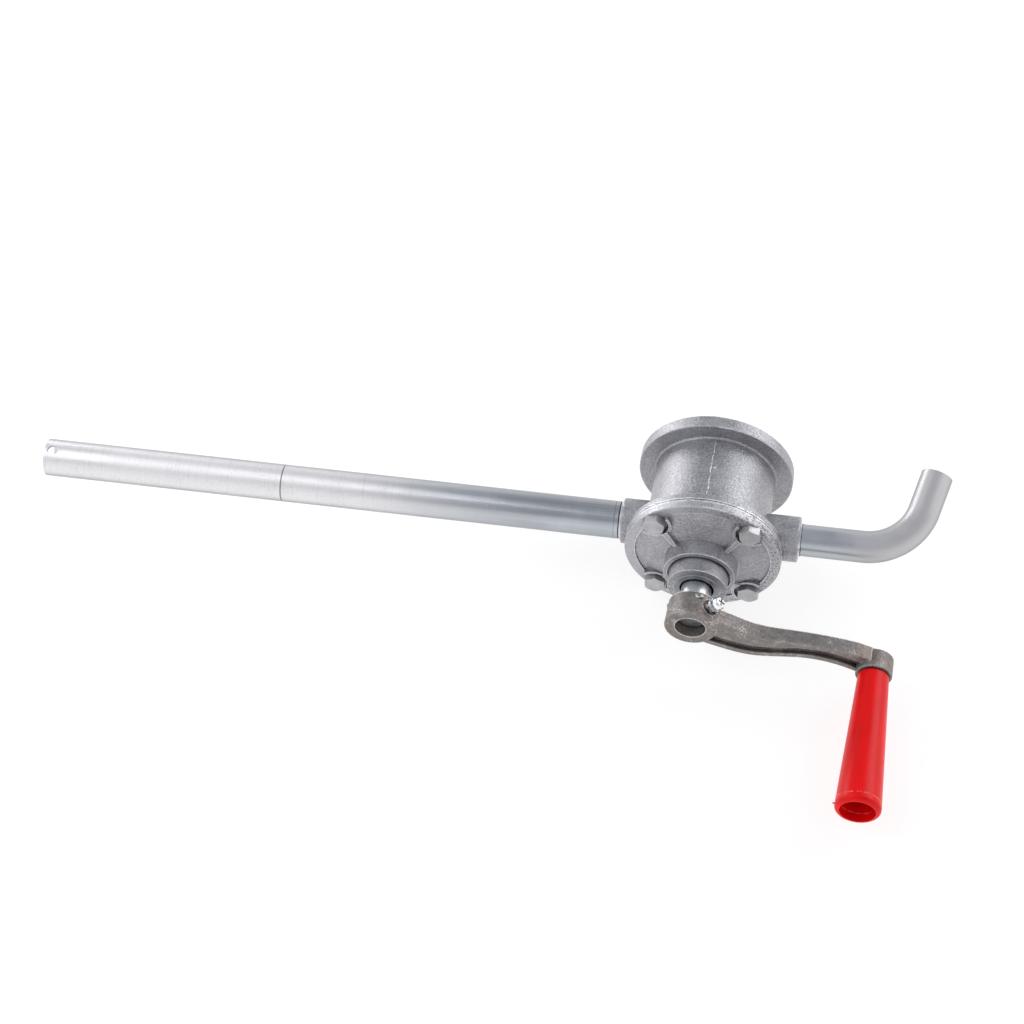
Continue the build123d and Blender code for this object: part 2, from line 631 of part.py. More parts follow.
def make_parts():
    """Every node's shape by name."""
    parts = {
        "pump_body": pump_body(),
        "cover_gasket": cover_gasket(),
        "front_cover": front_cover(),
        "cover_bolts": cover_bolts(),
        "rear_bush": bush(-REAR_WALL_T + REAR_BUSH_LEN, -REAR_WALL_T),
        "front_bush": bush(GASKET_FRONT, PACKING_REAR),
        "packing_rings": packing_rings(),
        "gland_ring": gland_ring(),
        "drive_shaft": drive_shaft(),
        "rotor": rotor(),
        "rotor_key": rotor_key(),
        "crank_arm": crank_arm(),
        "crank_screw": crank_screw(),
        "crank_lock_nut": crank_lock_nut(),
        "crank_lock_washer": crank_lock_washer(),
        "grip_pin": grip_pin(),
        "grip_washer": grip_washer(),
        "grip": grip(),
        "suction_nipple": suction_nipple(),
        "suction_tube_upper": suction_tube_upper(),
        "tube_coupler": tube_coupler(),
        "suction_tube_lower": suction_tube_lower(),
        "spout_nipple": spout_nipple(),
        "discharge_spout": discharge_spout(),
    }
    for number, angle in enumerate(vane_angles(), start=1):
        parts[f"vane_{number}"] = vane(angle)
    parts["vane_springs"] = Compound([vane_spring(angle) for angle in vane_angles()])
    return parts


os.makedirs("parts", exist_ok=True)
for name, shape in make_parts().items():
    export_step(shape, f"parts/{name}.step")
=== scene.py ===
"""Finishes a hand-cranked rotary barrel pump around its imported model, as an add-on's operators."""

import math

import bmesh
import bpy
from mathutils import Matrix, Vector, noise as wander


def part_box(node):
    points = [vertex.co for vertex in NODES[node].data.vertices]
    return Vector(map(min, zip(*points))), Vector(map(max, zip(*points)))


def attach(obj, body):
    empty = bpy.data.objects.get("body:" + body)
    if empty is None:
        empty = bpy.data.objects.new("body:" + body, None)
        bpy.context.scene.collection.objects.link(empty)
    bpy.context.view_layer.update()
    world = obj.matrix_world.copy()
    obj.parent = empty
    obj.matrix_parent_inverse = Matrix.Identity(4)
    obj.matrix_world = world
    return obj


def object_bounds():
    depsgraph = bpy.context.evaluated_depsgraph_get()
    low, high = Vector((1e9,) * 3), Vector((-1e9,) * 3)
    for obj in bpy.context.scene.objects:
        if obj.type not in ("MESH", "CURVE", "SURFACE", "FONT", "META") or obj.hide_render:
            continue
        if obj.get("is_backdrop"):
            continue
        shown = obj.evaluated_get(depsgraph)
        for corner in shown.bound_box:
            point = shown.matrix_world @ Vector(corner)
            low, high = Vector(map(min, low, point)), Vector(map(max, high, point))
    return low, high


bl_info = {
    "name": "Barrel pump finish",
    "version": (1, 0, 0),
    "blender": (4, 5, 0),
    "location": "View3D > Sidebar > Pump",
    "description": "Castings, tubes, crank and grip of a hand-cranked rotary barrel pump",
    "category": "Object",
}

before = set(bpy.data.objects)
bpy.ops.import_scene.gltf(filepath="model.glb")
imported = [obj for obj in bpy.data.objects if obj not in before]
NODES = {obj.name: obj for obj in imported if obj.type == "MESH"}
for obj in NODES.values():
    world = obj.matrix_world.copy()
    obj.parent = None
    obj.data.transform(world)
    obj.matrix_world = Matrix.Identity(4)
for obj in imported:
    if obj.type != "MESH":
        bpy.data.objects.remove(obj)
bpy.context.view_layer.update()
MM = 0.001


def centre(node):
    """Middle of a CAD node's box, in metres."""
    low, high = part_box(node)
    return (low + high) / 2


# ---------------------------------------------------------------- settings


def colour(name, description, default):
    return bpy.props.FloatVectorProperty(
        name=name, description=description, default=default, size=4, min=0, max=1, subtype="COLOR"
    )


def length(name, description, default):
    return bpy.props.FloatProperty(
        name=name, description=description, default=default, min=0, subtype="DISTANCE", unit="LENGTH"
    )


def power(name, description, default):
    return bpy.props.FloatProperty(name=name, description=description, default=default, min=0, unit="POWER")


def amount(name, description, default):
    return bpy.props.FloatProperty(name=name, description=description, default=default, min=0)


def angle(name, description, default):
    return bpy.props.FloatProperty(
        name=name, description=description, default=default, subtype="ANGLE", unit="ROTATION"
    )


class PumpStageSettings(bpy.types.PropertyGroup):
    azimuth: angle("Azimuth", "Camera's turn from straight in front of the crank", math.radians(13.93))
    elevation: angle("Elevation", "Camera's height over the horizon", math.radians(51.92))
    roll: angle("Roll", "Camera's tilt about its own view", math.radians(-4.73))
    distance: length("Distance", "Camera to the point it looks at", 1.7636)
    target: bpy.props.FloatVectorProperty(
        name="Target",
        description="Point the camera looks at",
        default=(-0.12521, -0.0765, 0.02438),
        subtype="TRANSLATION",
        unit="LENGTH",
    )
    lens: amount("Lens", "Focal length in millimetres", 94.91)
    floor: colour("Floor", "Colour of the floor", (0.30, 0.30, 0.30, 1))
    floor_glow: amount("Floor glow", "Light that the floor sheet gives off", 0.76)
    left_box: power("Left softbox", "Power of the large softbox on the left", 5.0)
    right_box: power("Right softbox", "Power of the softbox behind on the right", 5.0)
    rear_box: power("Rear softbox", "Power of the low softbox behind on the left", 6.0)
    sky: amount("Room light", "Strength of the room's own light", 1.0)


class PumpFinishSettings(bpy.types.PropertyGroup):
    casting: colour("Casting", "Die-cast body and cover", (0.33, 0.33, 0.35, 1))
    tube: colour("Tube", "Drawn suction tube and spout", (0.46, 0.485, 0.52, 1))
    chalk: colour("Chalk", "Dry oxide on the far end of the tube", (0.80, 0.785, 0.80, 1))
    iron: colour("Iron", "Cast crank arm", (0.185, 0.172, 0.165, 1))
    zinc: colour("Zinc", "Plated bolts", (0.50, 0.50, 0.52, 1))
    bright: colour("Bright zinc", "Plated clamp screw and its nut", (0.90, 0.91, 0.92, 1))
    shaft: colour("Shaft", "Ground shaft and pins", (0.62, 0.66, 0.70, 1))
    grip: colour("Grip", "Moulded grip", (0.80, 0.002, 0.003, 1))
    bronze: colour("Bronze", "Bushes", (0.55, 0.34, 0.16, 1))
    packing: colour("Packing", "Graphite packing and gasket", (0.035, 0.035, 0.04, 1))
    carbon: colour("Carbon", "Moulded vanes", (0.03, 0.03, 0.032, 1))


class PumpDetailSettings(bpy.types.PropertyGroup):
    seam_height: length("Seam height", "How far the casting seam stands out", 0.32 * MM)
    seam_width: length("Seam width", "Width of the casting seam", 0.65 * MM)
    screw_pitch: length("Screw pitch", "Pitch of the clamp screw's thread", 0.8 * MM)
    screw_thread_depth: length("Screw thread depth", "Depth of the clamp screw's thread", 0.25 * MM)


# ---------------------------------------------------------------- shader helpers


def put(tree, kind, **values):
    """Adds a node; capitalised names with underscores set sockets, lower-case ones set properties."""
    made = tree.nodes.new(kind)
    for name, value in values.items():
        if name[0].islower():
            setattr(made, name, value)
            continue
        socket = made.inputs[name.replace("_", " ")]
        if isinstance(value, bpy.types.NodeSocket):
            tree.links.new(value, socket)
        else:
            socket.default_value = value
    return made


def maths(tree, operation, first, second=None, clamp=False):
    made = tree.nodes.new("ShaderNodeMath")
    made.operation = operation
    made.use_clamp = clamp
    for socket, value in zip(made.inputs, (first, second)):
        if isinstance(value, bpy.types.NodeSocket):
            tree.links.new(value, socket)
        elif value is not None:
            socket.default_value = value
    return made.outputs[0]


def ramp(tree, value, low, high, out_low=0.0, out_high=1.0):
    """Remaps a value smoothly between two levels."""
    made = tree.nodes.new("ShaderNodeMapRange")
    made.interpolation_type = "SMOOTHSTEP"
    made.clamp = True
    tree.links.new(value, made.inputs["Value"])
    for name, number in (("From Min", low), ("From Max", high), ("To Min", out_low), ("To Max", out_high)):
        if isinstance(number, bpy.types.NodeSocket):
            tree.links.new(number, made.inputs[name])
        else:
            made.inputs[name].default_value = number
    return made.outputs["Result"]


def mix(tree, factor, first, second, blend="MIX"):
    made = tree.nodes.new("ShaderNodeMix")
    made.data_type = "RGBA"
    made.blend_type = blend
    for socket, value in ((made.inputs[0], factor), (made.inputs[6], first), (made.inputs[7], second)):
        if isinstance(value, bpy.types.NodeSocket):
            tree.links.new(value, socket)
        else:
            socket.default_value = value
    return made.outputs[2]


def object_point(tree, scale=(1, 1, 1), turn=(0, 0, 0), move=(0, 0, 0)):
    """Object coordinates through a Mapping node."""
    source = tree.nodes.new("ShaderNodeTexCoord")
    mapping = tree.nodes.new("ShaderNodeMapping")
    mapping.inputs["Location"].default_value = move
    mapping.inputs["Rotation"].default_value = turn
    mapping.inputs["Scale"].default_value = scale
    tree.links.new(source.outputs["Object"], mapping.inputs["Vector"])
    return mapping.outputs["Vector"]


def noise(tree, vector, scale, detail=3.0, roughness=0.55):
    made = put(tree, "ShaderNodeTexNoise", Vector=vector, Scale=scale, Detail=detail, Roughness=roughness)
    return made.outputs["Fac"]


def effect_group(name, inputs, outputs):
    """An empty shader node group with named sockets."""
    group = bpy.data.node_groups.new(name, "ShaderNodeTree")
    for label, default in inputs:
        socket = group.interface.new_socket(label, in_out="INPUT", socket_type="NodeSocketFloat")
        socket.default_value = default
    for label in outputs:
        group.interface.new_socket(label, in_out="OUTPUT", socket_type="NodeSocketFloat")
    start = group.nodes.new("NodeGroupInput")
    end = group.nodes.new("NodeGroupOutput")
    return group, start.outputs, end.inputs


def cast_grain_group():
    """Sand and die-cast skin: fine pitting, broad mottling and a height for the bump."""
    group, given, result = effect_group(
        "Cast grain", (("Grain Scale", 900.0), ("Mottle Scale", 60.0)), ("Grain", "Mottle", "Height")
    )
    point = object_point(group)
    fine = noise(group, point, given["Grain Scale"], 4.0, 0.65)
    broad = noise(group, point, given["Mottle Scale"], 5.0, 0.6)
    pits = put(group, "ShaderNodeTexVoronoi", Vector=point, Scale=given["Grain Scale"]).outputs["Distance"]
    height = maths(group, "ADD", fine, maths(group, "MULTIPLY", ramp(group, pits, 0.0, 0.55), 0.35))
    group.links.new(ramp(group, fine, 0.4, 0.62), result["Grain"])
    group.links.new(ramp(group, broad, 0.32, 0.68), result["Mottle"])
    group.links.new(height, result["Height"])
    return group


def edge_highlight_and_shade_group():
    """Painted highlight along outer edges, broken up by noise, and painted shade in hollows."""
    group, given, result = effect_group(
        "Edge highlight and hollow shade",
        (("Radius", 0.8 * MM), ("Break Scale", 500.0), ("Shelter Distance", 4 * MM)),
        ("Edge", "Hollow Shade"),
    )
    rounded = put(group, "ShaderNodeBevel", samples=8, Radius=given["Radius"]).outputs["Normal"]
    true_normal = group.nodes.new("ShaderNodeNewGeometry").outputs["True Normal"]
    lean = put(group, "ShaderNodeVectorMath", operation="DOT_PRODUCT")
    group.links.new(rounded, lean.inputs[0])
    group.links.new(true_normal, lean.inputs[1])
    bend = maths(group, "SUBTRACT", 1.0, lean.outputs["Value"])
    shade_reach = put(group, "ShaderNodeAmbientOcclusion", samples=6, Distance=given["Shelter Distance"])
    broken = noise(group, object_point(group), given["Break Scale"], 3.0)
    # Painted highlight mask: where the bevelled normal leans off the true normal, broken up by noise.
    highlit_edge = maths(group, "MULTIPLY", ramp(group, bend, 0.006, 0.07), ramp(group, broken, 0.3, 0.6, 0.5, 1.0))
    open_edge = ramp(group, shade_reach.outputs["AO"], 0.4, 0.7)
    group.links.new(maths(group, "MULTIPLY", highlit_edge, open_edge, True), result["Edge"])
    # Painted shade mask from ambient occlusion, strongest in hollows and corners.
    group.links.new(ramp(group, shade_reach.outputs["AO"], 0.2, 0.75, 1.0, 0.0), result["Hollow Shade"])
    return group


def drawn_streaks_group():
    """Lengthwise streaks left by drawing, with a few marks across."""
    group, given, result = effect_group(
        "Drawn streaks",
        (("Across Scale", 260.0), ("Along Scale", 6.0), ("Ring Scale", 700.0)),
        ("Streak", "Ring", "Cloud"),
    )
    source = group.nodes.new("ShaderNodeTexCoord").outputs["Object"]
    split = put(group, "ShaderNodeSeparateXYZ", Vector=source)
    joined = group.nodes.new("ShaderNodeCombineXYZ")
    group.links.new(maths(group, "MULTIPLY", split.outputs["X"], given["Along Scale"]), joined.inputs[0])
    group.links.new(maths(group, "MULTIPLY", split.outputs["Y"], given["Across Scale"]), joined.inputs[1])
    group.links.new(maths(group, "MULTIPLY", split.outputs["Z"], given["Across Scale"]), joined.inputs[2])
    rings = group.nodes.new("ShaderNodeCombineXYZ")
    group.links.new(maths(group, "MULTIPLY", split.outputs["X"], given["Ring Scale"]), rings.inputs[0])
    group.links.new(maths(group, "MULTIPLY", split.outputs["Z"], 30.0), rings.inputs[2])
    streak = noise(group, joined.outputs[0], 1.0, 3.0)
    ring = noise(group, rings.outputs[0], 1.0, 2.0)
    cloud = noise(group, source, 26.0, 4.0, 0.6)
    group.links.new(ramp(group, streak, 0.3, 0.7), result["Streak"])
    group.links.new(ramp(group, ring, 0.52, 0.72), result["Ring"])
    group.links.new(ramp(group, cloud, 0.35, 0.68), result["Cloud"])
    return group


GROUP_MAKERS = {
    "Cast grain": cast_grain_group,
    "Edge highlight and hollow shade": edge_highlight_and_shade_group,
    "Drawn streaks": drawn_streaks_group,
}


def effect(tree, name, **values):
    """Places a shared effect group, built on first use."""
    group = bpy.data.node_groups.get(name) or GROUP_MAKERS[name]()
    made = tree.nodes.new("ShaderNodeGroup")
    made.node_tree = group
    for label, value in values.items():
        made.inputs[label.replace("_", " ")].default_value = value
    return made.outputs


def shader(name):
    """A new material's tree and its Principled BSDF."""
    material = bpy.data.materials.new(name)
    material.use_nodes = True
    tree = material.node_tree
    return material, tree, tree.nodes["Principled BSDF"]


def bump(tree, surface, height, strength, distance):
    made = put(tree, "ShaderNodeBump", Strength=strength, Distance=distance, Height=height)
    tree.links.new(made.outputs["Normal"], surface.inputs["Normal"])


def scaled(rgba, amount):
    return tuple(min(1.0, c * amount) for c in rgba[:3]) + (1.0,)


# ---------------------------------------------------------------- finishes


def die_cast(name, base, roughness, shade_reach=4 * MM, land=None):
    """Bead-blasted die-cast aluminium with a painted highlight along its edges and painted shade in its
    hollows.
    shade_reach is how far the painted shade reaches from a corner, and land is the radius past which a
    flange face keeps its coarse, pitted skin."""
    material, tree, surface = shader(name)
    skin = effect(tree, "Cast grain", Grain_Scale=760.0, Mottle_Scale=70.0)
    highlight_and_shade = effect(tree, "Edge highlight and hollow shade", Radius=1.2 * MM, Break_Scale=450.0, Shelter_Distance=shade_reach)
    tone = mix(tree, skin["Mottle"], scaled(base, 0.80), scaled(base, 1.12))
    tone = mix(tree, maths(tree, "MULTIPLY", skin["Grain"], 0.5), tone, scaled(base, 1.8))
    dark = noise(tree, object_point(tree), 1150.0, 3.0, 0.6)
    tone = mix(tree, ramp(tree, dark, 0.56, 0.7, 0.0, 0.65), tone, scaled(base, 0.3))
    if land:
        split = put(tree, "ShaderNodeSeparateXYZ", Vector=object_point(tree))
        squares = [maths(tree, "POWER", split.outputs[axis], 2.0) for axis in "XZ"]
        from_axis = maths(tree, "SQRT", maths(tree, "ADD", squares[0], squares[1]))
        pitted = ramp(tree, noise(tree, object_point(tree), 640.0, 2.0), 0.52, 0.62)
        side = ramp(tree, split.outputs["X"], -0.02, 0.04, 0.25, 0.85)
        rim = ramp(tree, from_axis, land - 0.4 * MM, land + 0.4 * MM)
        tone = mix(tree, maths(tree, "MULTIPLY", rim, 0.45), tone, scaled(base, 1.75))
        where = maths(tree, "MULTIPLY", rim, side)
        tone = mix(tree, maths(tree, "MULTIPLY", where, pitted), tone, scaled(base, 0.38))
    # Painted highlight along the edges, up to 2.7 times the base.
    tone = mix(tree, maths(tree, "MULTIPLY", highlight_and_shade["Edge"], 0.95), tone, scaled(base, 2.7))
    # Painted shade in the hollows and corners, down to a fifth of the base.
    tone = mix(tree, maths(tree, "MULTIPLY", highlight_and_shade["Hollow Shade"], 0.75), tone, scaled(base, 0.2))
    tree.links.new(tone, surface.inputs["Base Color"])
    surface.inputs["Metallic"].default_value = 0.75
    shine = ramp(tree, skin["Mottle"], 0.0, 1.0, roughness - 0.05, roughness + 0.07)
    tree.links.new(shine, surface.inputs["Roughness"])
    bump(tree, surface, skin["Height"], 0.75, 0.4 * MM)
    return material


def drawn_tube(name, base, roughness, streaks, chalk, dry_from, dry_to, joint=None):
    """Bright drawn aluminium tube; streaks is how strongly the lengthwise lines show, dry_from and
    dry_to are the positions along X between which the chalky oxide sets in, and joint is where
    two lengths butt together."""
    material, tree, surface = shader(name)
    lines = effect(tree, "Drawn streaks")
    highlight_and_shade = effect(tree, "Edge highlight and hollow shade", Radius=0.5 * MM, Break_Scale=500.0, Shelter_Distance=3 * MM)
    along = put(tree, "ShaderNodeSeparateXYZ", Vector=object_point(tree)).outputs["X"]
    uneven_along = maths(tree, "ADD", along, maths(tree, "MULTIPLY", lines["Cloud"], 0.03))
    low, high = sorted((dry_from, dry_to))
    dry = ramp(tree, uneven_along, low, high, *((1.0, 0.0) if dry_to < dry_from else (0.0, 1.0)))
    tone = mix(tree, maths(tree, "MULTIPLY", lines["Streak"], streaks), base, scaled(base, 0.8))
    tone = mix(tree, maths(tree, "MULTIPLY", lines["Cloud"], 0.25), tone, scaled(base, 1.5))
    tone = mix(tree, dry, tone, chalk)
    tone = mix(tree, maths(tree, "MULTIPLY", lines["Ring"], 0.16 * streaks), tone, scaled(base, 0.8))
    if joint is not None:
        from_joint = maths(tree, "ABSOLUTE", maths(tree, "SUBTRACT", along, joint))
        tone = mix(tree, ramp(tree, from_joint, 0.3 * MM, 0.7 * MM, 0.8, 0.0), tone, scaled(base, 0.25))
    speck = noise(tree, object_point(tree), 900.0, 3.0, 0.6)
    tone = mix(tree, ramp(tree, speck, 0.56, 0.7, 0.0, 0.5), tone, scaled(base, 1.0))
    # Painted dark reflection along the tube's outline, where its surface turns away from the view.
    grazing_dark_reflection = put(tree, "ShaderNodeLayerWeight", Blend=0.5).outputs["Facing"]
    tone = mix(tree, ramp(tree, grazing_dark_reflection, 0.32, 0.88, 0.0, 0.85), tone, scaled(base, 0.5))
    # Painted shade in the hollows and where the tube meets other parts.
    tone = mix(tree, maths(tree, "MULTIPLY", highlight_and_shade["Hollow Shade"], 0.75), tone, scaled(base, 0.15))
    tree.links.new(tone, surface.inputs["Base Color"])
    tree.links.new(ramp(tree, dry, 0.0, 1.0, 1.0, 0.6), surface.inputs["Metallic"])
    clouded = maths(tree, "ADD", lines["Cloud"], dry)
    shine = ramp(tree, clouded, 0.0, 2.0, roughness - 0.04, roughness + 0.16)
    tree.links.new(shine, surface.inputs["Roughness"])
    height = maths(tree, "ADD", maths(tree, "MULTIPLY", lines["Streak"], streaks), speck)
    bump(tree, surface, height, 0.3, 0.14 * MM)
    return material


def sand_cast(name, base):
    """Bare grey iron with a brown tinge, pale speckle, dark pits, a painted highlight on its edges and
    near-black painted shade in its hollows.
    """
    material, tree, surface = shader(name)
    skin = effect(tree, "Cast grain", Grain_Scale=520.0, Mottle_Scale=120.0)
    highlight_and_shade = effect(tree, "Edge highlight and hollow shade", Radius=1.3 * MM, Break_Scale=420.0, Shelter_Distance=10 * MM)
    tinge = noise(tree, object_point(tree), 45.0, 5.0, 0.6)
    tone = mix(tree, ramp(tree, tinge, 0.42, 0.62), base, (0.225, 0.178, 0.158, 1))
    tone = mix(tree, maths(tree, "MULTIPLY", skin["Mottle"], 0.6), tone, (0.32, 0.31, 0.298, 1))
    pale = noise(tree, object_point(tree), 900.0, 4.0, 0.7)
    patch = ramp(tree, noise(tree, object_point(tree), 75.0, 3.0), 0.48, 0.68)
    speckled = maths(tree, "MULTIPLY", ramp(tree, pale, 0.48, 0.6), patch)
    tone = mix(tree, speckled, tone, (0.60, 0.575, 0.53, 1))
    tone = mix(tree, maths(tree, "MULTIPLY", skin["Grain"], 0.3), tone, scaled(base, 0.35))
    # Painted highlight along the edges, such as the arm's ridge.
    tone = mix(tree, maths(tree, "MULTIPLY", highlight_and_shade["Edge"], 0.9), tone, (0.86, 0.83, 0.78, 1))
    # Painted shade, near black, in the hollows and down the bore.
    tone = mix(tree, maths(tree, "MULTIPLY", highlight_and_shade["Hollow Shade"], 0.7), tone, (0.03, 0.016, 0.012, 1))
    tree.links.new(tone, surface.inputs["Base Color"])
    surface.inputs["Metallic"].default_value = 0.6
    tree.links.new(ramp(tree, skin["Mottle"], 0.0, 1.0, 0.38, 0.55), surface.inputs["Roughness"])
    bump(tree, surface, skin["Height"], 0.7, 0.5 * MM)
    return material


def machined(name, base, roughness, metallic=1.0, mottle=0.3):
    """Turned, ground or plated metal with faint clouding."""
    material, tree, surface = shader(name)
    skin = effect(tree, "Cast grain", Grain_Scale=1500.0, Mottle_Scale=180.0)
    highlight_and_shade = effect(tree, "Edge highlight and hollow shade", Radius=0.4 * MM, Break_Scale=700.0, Shelter_Distance=2 * MM)
    tone = mix(tree, maths(tree, "MULTIPLY", skin["Mottle"], mottle), base, scaled(base, 0.7))
    # Painted highlight along the edges.
    tone = mix(tree, maths(tree, "MULTIPLY", highlight_and_shade["Edge"], 0.6), tone, scaled(base, 1.4))
    # Painted shade in the hollows.
    tone = mix(tree, maths(tree, "MULTIPLY", highlight_and_shade["Hollow Shade"], 0.6), tone, scaled(base, 0.3))
    tree.links.new(tone, surface.inputs["Base Color"])
    surface.inputs["Metallic"].default_value = metallic
    shine = ramp(tree, skin["Mottle"], 0.0, 1.0, roughness - 0.04, roughness + 0.08)
    tree.links.new(shine, surface.inputs["Roughness"])
    bump(tree, surface, skin["Grain"], 0.06, 0.1 * MM)
    return material


def moulded(name, base, scuff_at):
    """Semi-gloss moulded plastic with faint flow marks, a painted highlight on its edges and a scuffed line
    round the grip at the position scuff_at along Y."""
    material, tree, surface = shader(name)
    flow = noise(tree, object_point(tree, scale=(1, 0.2, 1)), 90.0, 3.0)
    scuff = noise(tree, object_point(tree, scale=(1, 0.5, 1)), 420.0, 4.0, 0.65)
    highlight_and_shade = effect(tree, "Edge highlight and hollow shade", Radius=0.9 * MM, Break_Scale=420.0, Shelter_Distance=6 * MM)
    tone = mix(tree, ramp(tree, flow, 0.35, 0.65), scaled(base, 0.9), scaled(base, 1.06))
    # Painted highlight along the edges, a lighter red.
    tone = mix(tree, maths(tree, "MULTIPLY", highlight_and_shade["Edge"], 0.22), tone, (0.9, 0.12, 0.12, 1))
    along = put(tree, "ShaderNodeSeparateXYZ", Vector=object_point(tree)).outputs["Y"]
    wavy = maths(tree, "ADD", along, maths(tree, "MULTIPLY", flow, 1.6 * MM))
    from_line = maths(tree, "ABSOLUTE", maths(tree, "SUBTRACT", wavy, scuff_at + 0.8 * MM))
    near_line = ramp(tree, from_line, 0.0, 0.7 * MM, 1.0, 0.0)
    line = maths(tree, "MULTIPLY", near_line, ramp(tree, scuff, 0.44, 0.56))
    outside = maths(tree, "SUBTRACT", 1.0, highlight_and_shade["Hollow Shade"], True)
    rubbed = maths(tree, "MULTIPLY", maths(tree, "MULTIPLY", line, outside), 0.4)
    tone = mix(tree, rubbed, tone, (0.95, 0.42, 0.42, 1))
    tree.links.new(tone, surface.inputs["Base Color"])
    tree.links.new(ramp(tree, scuff, 0.4, 0.75, 0.3, 0.42), surface.inputs["Roughness"])
    surface.inputs["Specular IOR Level"].default_value = 0.2
    bump(tree, surface, flow, 0.05, 0.4 * MM)
    return material


def dull(name, base, roughness, fibre_scale):
    """Packing, gasket sheet and carbon."""
    material, tree, surface = shader(name)
    fibre = noise(tree, object_point(tree), fibre_scale, 4.0, 0.65)
    tone = mix(tree, ramp(tree, fibre, 0.3, 0.7), scaled(base, 0.7), scaled(base, 1.8))
    tree.links.new(tone, surface.inputs["Base Color"])
    tree.links.new(ramp(tree, fibre, 0.3, 0.7, roughness, roughness + 0.15), surface.inputs["Roughness"])
    bump(tree, surface, fibre, 0.3, 0.2 * MM)
    return material


def dress(material, *names):
    """Gives CAD nodes a material in all their slots."""
    for name in names:
        mesh = NODES[name].data
        if not mesh.materials:
            mesh.materials.append(material)
        for i in range(len(mesh.materials)):
            mesh.materials[i] = material


# ---------------------------------------------------------------- mesh helpers


def piece(name, mesh_data, material, body):
    """Turns a bmesh into a finished piece that rides on a CAD body."""
    bmesh.ops.remove_doubles(mesh_data, verts=mesh_data.verts, dist=1e-6)
    bmesh.ops.recalc_face_normals(mesh_data, faces=mesh_data.faces)
    for face in mesh_data.faces:
        face.smooth = True
    mesh = bpy.data.meshes.new(name)
    mesh_data.to_mesh(mesh)
    mesh_data.free()
    mesh.materials.append(material)
    made = bpy.data.objects.new(name, mesh)
    bpy.context.scene.collection.objects.link(made)
    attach(made, body)
    return made


# ---------------------------------------------------------------- stage


class PUMP_OT_stage(bpy.types.Operator):
    """Floor, soft lights and the camera"""

    bl_idname = "pump.stage"
    bl_label = "Set the stage"

    def execute(self, context):
        settings = context.scene.pump_stage
        make_camera(settings)
        make_floor(settings)
        make_lights(settings)
        return {"FINISHED"}


def make_camera(settings):
    azimuth, elevation, roll = settings.azimuth, settings.elevation, settings.roll
    back = Vector(
        (
            math.sin(azimuth) * math.cos(elevation),
            -math.cos(azimuth) * math.cos(elevation),
            math.sin(elevation),
        )
    )
    right = (-back).cross(Vector((0, 0, 1))).normalized()
    up = right.cross(-back)
    tilted_right = math.cos(roll) * right + math.sin(roll) * up
    tilted_up = -math.sin(roll) * right + math.cos(roll) * up
    data = bpy.data.cameras.new("camera")
    data.lens = settings.lens
    data.sensor_width = 36
    data.clip_end = 20
    camera = bpy.data.objects.new("camera", data)
    turn = Matrix((tilted_right, tilted_up, back)).transposed().to_4x4()
    camera.matrix_world = Matrix.Translation(Vector(settings.target) + back * settings.distance) @ turn
    bpy.context.scene.collection.objects.link(camera)
    bpy.context.scene.camera = camera


FLOOR_HALF = 6.0
FLOOR_GAP = 0.2 * MM


def make_floor(settings):
    material, tree, surface = shader("floor paper")
    grain = noise(tree, object_point(tree), 40.0, 3.0)
    paper = tuple(settings.floor)
    tone = mix(tree, maths(tree, "MULTIPLY", grain, 0.05), paper, scaled(paper, 1.5))
    tree.links.new(tone, surface.inputs["Base Color"])
    surface.inputs["Roughness"].default_value = 0.9
    surface.inputs["Emission Color"].default_value = (1, 1, 1, 1)
    surface.inputs["Emission Strength"].default_value = settings.floor_glow
    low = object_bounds()[0]
    sheet = bmesh.new()
    bmesh.ops.create_grid(sheet, x_segments=2, y_segments=2, size=FLOOR_HALF)
    bmesh.ops.translate(sheet, verts=sheet.verts, vec=(0, 0, low[2] - FLOOR_GAP))
    mesh = bpy.data.meshes.new("floor")
    sheet.to_mesh(mesh)
    sheet.free()
    mesh.materials.append(material)
    floor = bpy.data.objects.new("floor", mesh)
    bpy.context.scene.collection.objects.link(floor)
    floor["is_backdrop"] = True


def make_lights(settings):
    bpy.context.scene.view_settings.view_transform = "Standard"
    world = bpy.context.scene.world or bpy.data.worlds.new("studio")
    bpy.context.scene.world = world
    world.use_nodes = True
    tree = world.node_tree
    tree.nodes.clear()
    source = tree.nodes.new("ShaderNodeTexCoord")
    split = put(tree, "ShaderNodeSeparateXYZ", Vector=source.outputs["Generated"])
    tone = mix(tree, ramp(tree, split.outputs["Z"], 0.15, 0.75), (1.0, 1.0, 1.0, 1), (0.50, 0.51, 0.545, 1))
    sky = put(tree, "ShaderNodeBackground", Color=tone, Strength=settings.sky)
    end = tree.nodes.new("ShaderNodeOutputWorld")
    tree.links.new(sky.outputs[0], end.inputs["Surface"])
    softbox("left softbox", (-0.98, -0.30, 1.0), (-0.60, -0.15, 0), (0.9, 1.3), settings.left_box)
    softbox("rear softbox", (-1.25, 0.95, 0.30), (0.0, -0.04, 0.02), (0.8, 0.5), settings.rear_box)
    softbox("right softbox", (0.9, 0.55, 0.62), (0.1, -0.15, 0), (0.9, 0.7), settings.right_box)


def softbox(name, place, aim, size, power):
    data = bpy.data.lights.new(name, "AREA")
    data.shape = "RECTANGLE"
    data.size, data.size_y = size
    data.energy = power
    light = bpy.data.objects.new(name, data)
    light.location = place
    direction = Vector(aim) - Vector(place)
    light.rotation_euler = direction.to_track_quat("-Z", "Y").to_euler()
    bpy.context.scene.collection.objects.link(light)


# ---------------------------------------------------------------- castings


